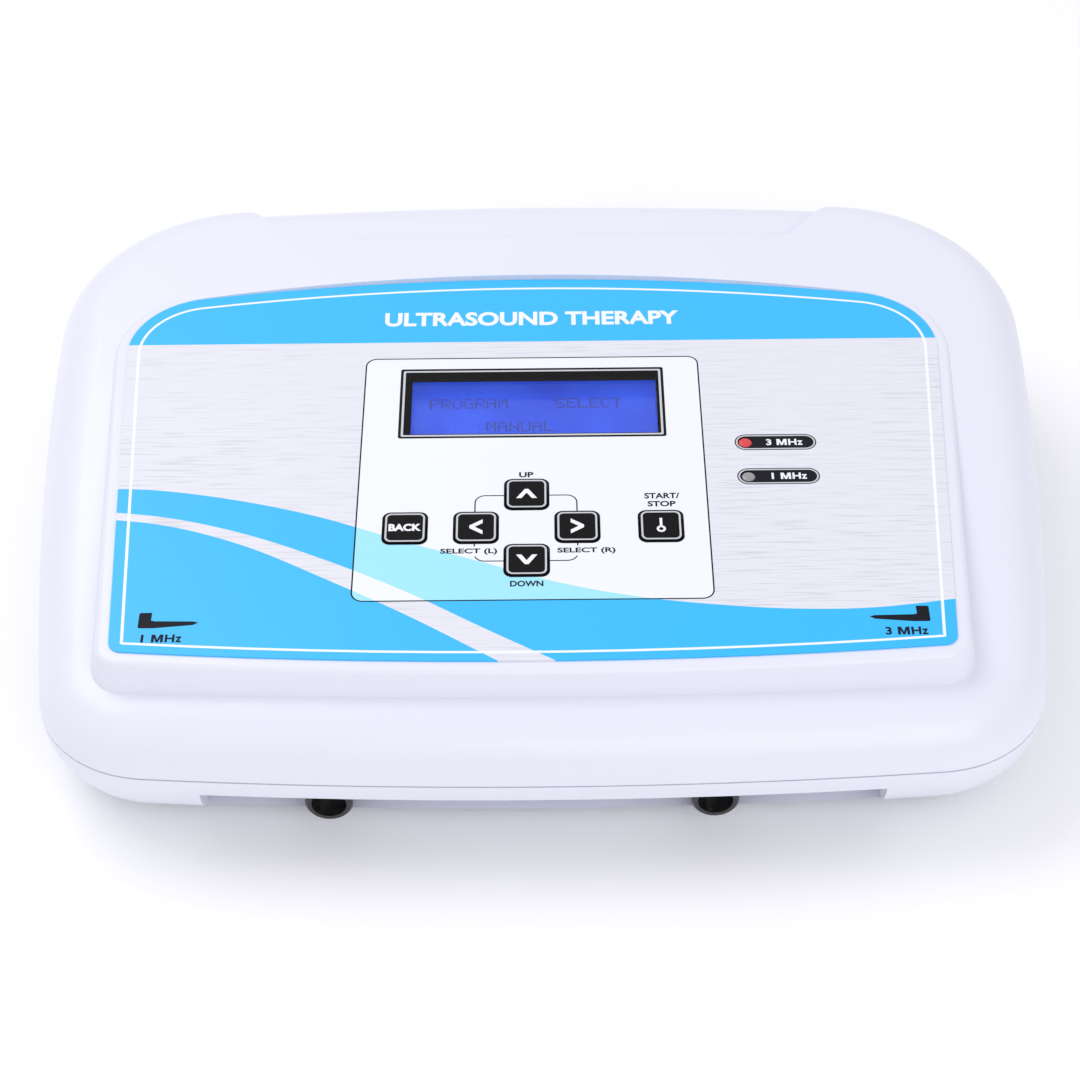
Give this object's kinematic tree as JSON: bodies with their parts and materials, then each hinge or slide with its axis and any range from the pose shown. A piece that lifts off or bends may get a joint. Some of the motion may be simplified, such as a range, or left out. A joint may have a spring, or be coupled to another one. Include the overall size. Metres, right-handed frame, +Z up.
{
  "type": "ultrasound therapy device",
  "caption": "Bench-top ultrasound therapy unit: white pillow-shaped case with a tilted keypad panel, blue display, front probe sockets and rear mains inlet.",
  "frame": {"origin": "centre of the device's bounding box on the surface that its feet stand on", "axes": "+Z up, the front with the probe sockets faces -Y, +X to the user's right"},
  "size_m": [0.313, 0.2492, 0.0657],
  "materials": {
    "case_white": "satin white moulded ABS",
    "panel_white": "light grey-white sheet",
    "screw_steel": "zinc plated",
    "rubber_black": "matt black rubber",
    "socket_black": "black connector shell",
    "contact_brass": "plated contact",
    "nut_nickel": "nickel plated",
    "inlet_black": "black moulding",
    "rocker_black": "black rocker",
    "fuse_glass": "glass tube fuse",
    "sink_black": "black anodised",
    "chip_black": "moulded package",
    "overlay_film": "printed polyester film",
    "window_clear": "clear window with black border",
    "key_black": "black embossed key",
    "board_green": "green circuit board",
    "lamp_red": "red diffused lamp",
    "lamp_clear": "grey diffused lamp",
    "bezel_black": "black painted steel",
    "display_blue": "blue negative display",
    "backlight_white": "diffuser",
    "standoff_brass": "hexagonal brass",
    "crystal_steel": "steel can",
    "relay_blue": "relay case",
    "capacitor_sleeve": "capacitor sleeve",
    "coil_ferrite": "enamelled copper on a ferrite ring",
    "core_steel": "laminated core",
    "winding_tape": "taped winding",
    "bracket_steel": "pressed bracket",
    "ribbon_grey": "flat cable",
    "header_white": "header"
  },
  "bodies": {
    "case": {"top_cover": "case_white", "bottom_cover": "case_white", "case_screws": "screw_steel", "rubber_feet": "rubber_black", "front_plate": "panel_white", "probe_sockets": "socket_black", "socket_inserts": "socket_black", "socket_contacts": "contact_brass", "socket_nuts": "nut_nickel", "rear_plate": "panel_white", "mains_inlet": "inlet_black", "inlet_pins": "contact_brass", "plate_screws": "screw_steel", "switch_housing": "inlet_black", "rocker_pin": "nut_nickel", "fuse_holder": "inlet_black", "heat_sink": "sink_black", "power_transistor": "chip_black", "control_overlay": "overlay_film", "display_window": "window_clear", "tact_switches": "chip_black", "keypad_board": "board_green", "led_3mhz": "lamp_red", "led_1mhz": "lamp_clear", "display_board": "board_green", "display_bezel": "bezel_black", "display_glass": "display_blue", "display_backlight": "backlight_white", "board_standoffs": "standoff_brass", "main_board": "board_green", "board_screws": "screw_steel", "microcontroller": "chip_black", "crystal": "crystal_steel", "relays": "relay_blue", "filter_capacitors": "capacitor_sleeve", "bridge_rectifier": "chip_black", "output_coil": "coil_ferrite", "buzzer": "chip_black", "transformer_core": "core_steel", "transformer_winding": "winding_tape", "transformer_bracket": "bracket_steel", "ribbon_cable": "ribbon_grey", "board_header": "header_white"},
    "key_back": {"key_back": "key_black"},
    "key_left": {"key_left": "key_black"},
    "key_up": {"key_up": "key_black"},
    "key_down": {"key_down": "key_black"},
    "key_right": {"key_right": "key_black"},
    "key_start": {"key_start": "key_black"},
    "rocker": {"power_rocker": "rocker_black"},
    "fuse_carrier": {"fuse_cap": "inlet_black", "fuse": "fuse_glass"}
  },
  "joints": [
    {"name": "key_back_press", "type": "slide", "parent": "case", "child": "key_back", "axis": [0, 0.0523, -0.9986], "range_m": [0, 0.0005], "stiffness_N_per_m": 1500, "springref_m": -0.0003},
    {"name": "key_left_press", "type": "slide", "parent": "case", "child": "key_left", "axis": [0, 0.0523, -0.9986], "range_m": [0, 0.0005], "stiffness_N_per_m": 1500, "springref_m": -0.0003},
    {"name": "key_up_press", "type": "slide", "parent": "case", "child": "key_up", "axis": [0, 0.0523, -0.9986], "range_m": [0, 0.0005], "stiffness_N_per_m": 1500, "springref_m": -0.0003},
    {"name": "key_down_press", "type": "slide", "parent": "case", "child": "key_down", "axis": [0, 0.0523, -0.9986], "range_m": [0, 0.0005], "stiffness_N_per_m": 1500, "springref_m": -0.0003},
    {"name": "key_right_press", "type": "slide", "parent": "case", "child": "key_right", "axis": [0, 0.0523, -0.9986], "range_m": [0, 0.0005], "stiffness_N_per_m": 1500, "springref_m": -0.0003},
    {"name": "key_start_press", "type": "slide", "parent": "case", "child": "key_start", "axis": [0, 0.0523, -0.9986], "range_m": [0, 0.0005], "stiffness_N_per_m": 1500, "springref_m": -0.0003},
    {"name": "rocker_tilt", "type": "hinge", "parent": "case", "child": "rocker", "pos_m": [-0.02, 0.1084, 0.03], "axis": [1, 0, 0], "range_deg": [-28, 0]},
    {"name": "fuse_cap_turn", "type": "hinge", "parent": "case", "child": "fuse_carrier", "pos_m": [0.01, 0.1144, 0.03], "axis": [0, 1, 0], "range_deg": [-60, 0]}
  ]
}
